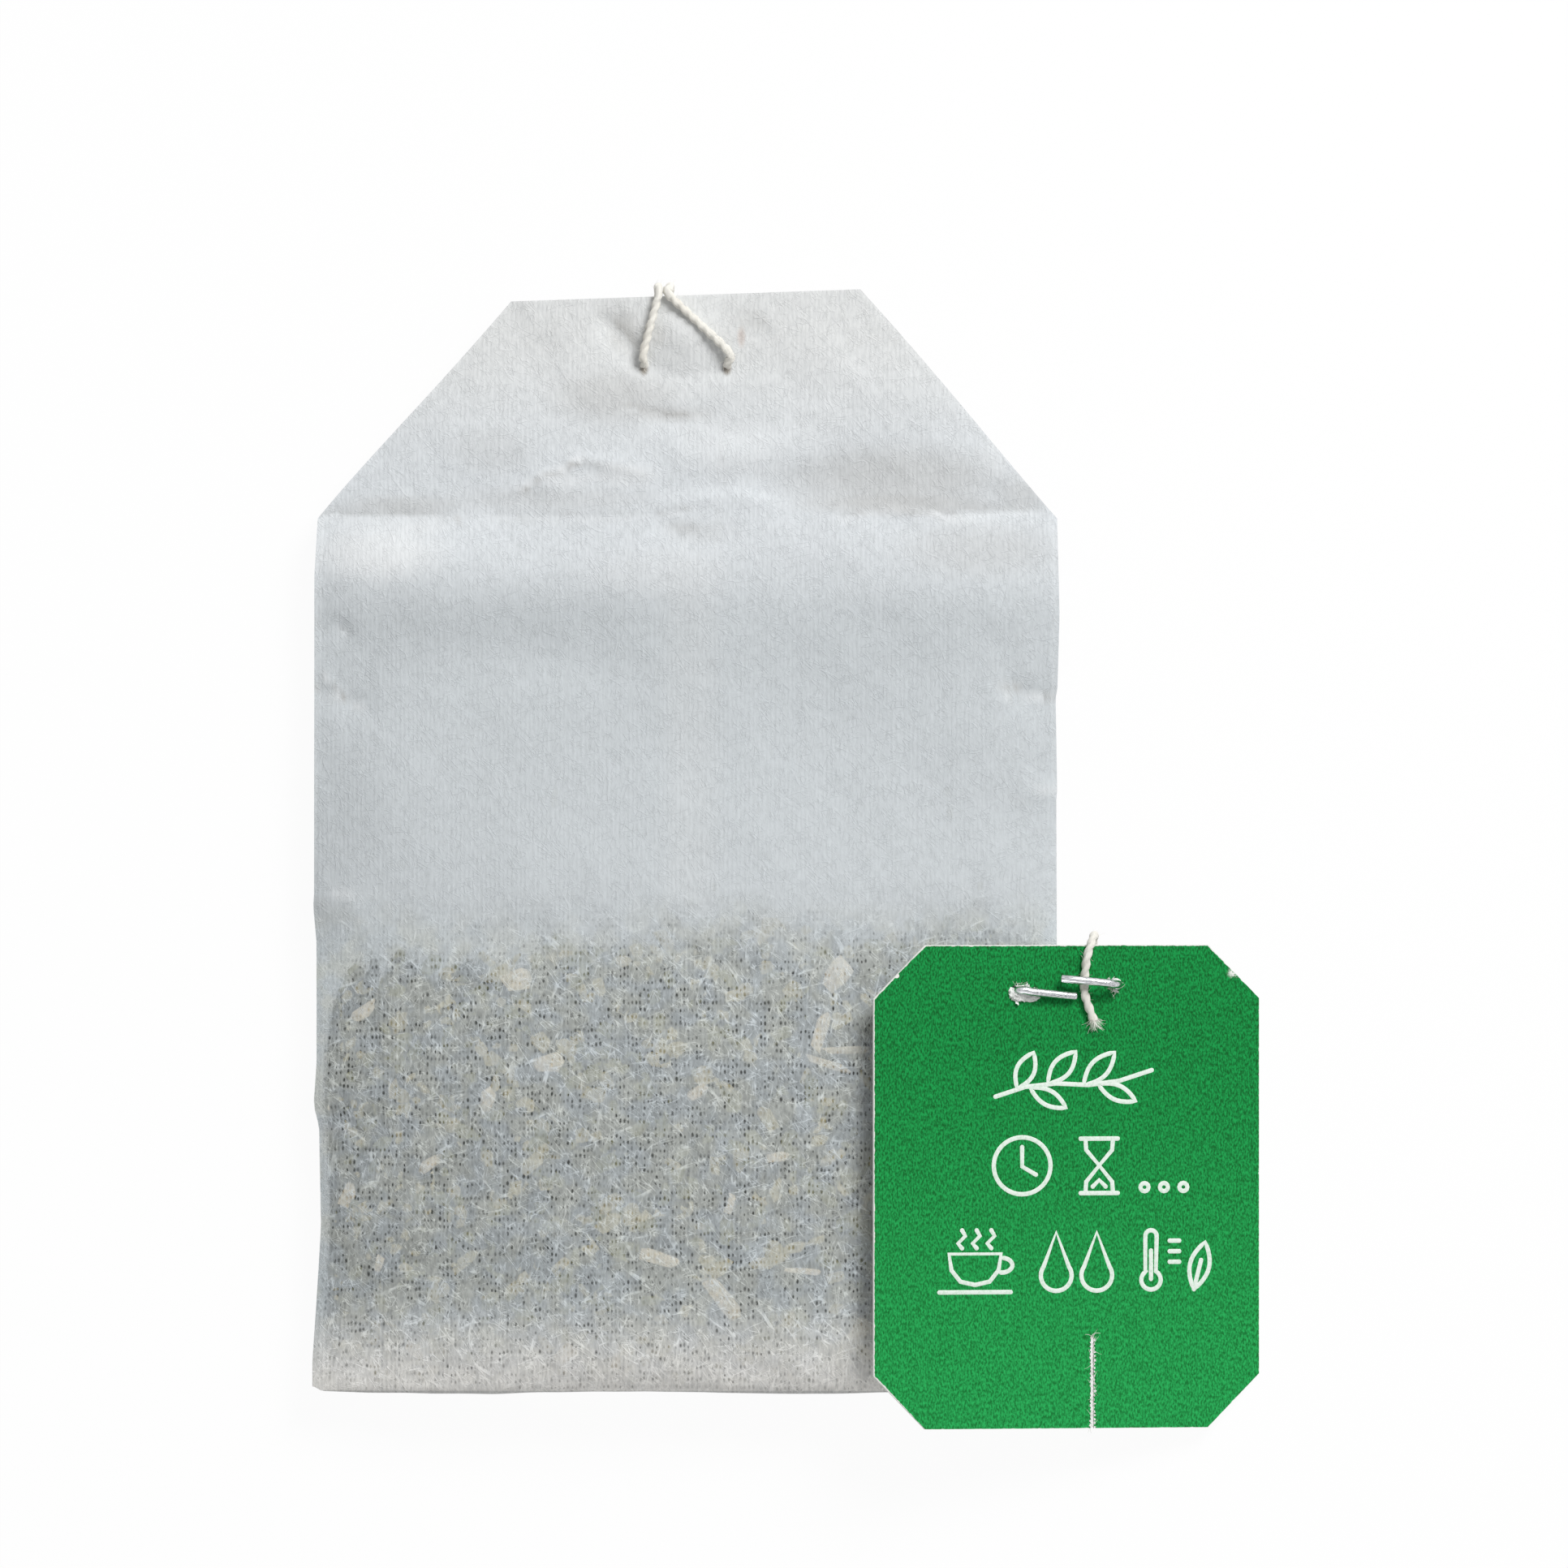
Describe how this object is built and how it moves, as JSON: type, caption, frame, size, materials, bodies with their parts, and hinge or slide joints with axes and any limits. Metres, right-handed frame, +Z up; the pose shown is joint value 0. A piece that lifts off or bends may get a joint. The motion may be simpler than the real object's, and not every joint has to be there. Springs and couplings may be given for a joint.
{
  "type": "tea bag",
  "caption": "Double-chamber paper tea bag with a folded head, a stitched thread and a stapled card tag.",
  "frame": {"origin": "centre of the flat patch under the rear chamber, on which the bag lies, on the bag's long centre line", "axes": "+Z up from the surface it lies on; +Y along the bag, from the gusset to the folded head; +X towards the tag"},
  "size_m": [0.0636, 0.0771, 0.0075],
  "materials": {
    "filter_paper": "thin fibrous filter paper, matt, tea shows through",
    "tea": "dry cut leaves, matt, dark brown",
    "green_card": "printed green, slightly mottled, white core at the edges",
    "aluminium_wire": "drawn wire, semi-bright",
    "cotton_thread": "undyed twisted cotton"
  },
  "bodies": {
    "root": {"filter_paper": "filter_paper", "tea_fill_front": "tea", "tea_fill_rear": "tea", "tag": "green_card", "tag_staple": "aluminium_wire", "thread": "cotton_thread"}
  },
  "joints": []
}
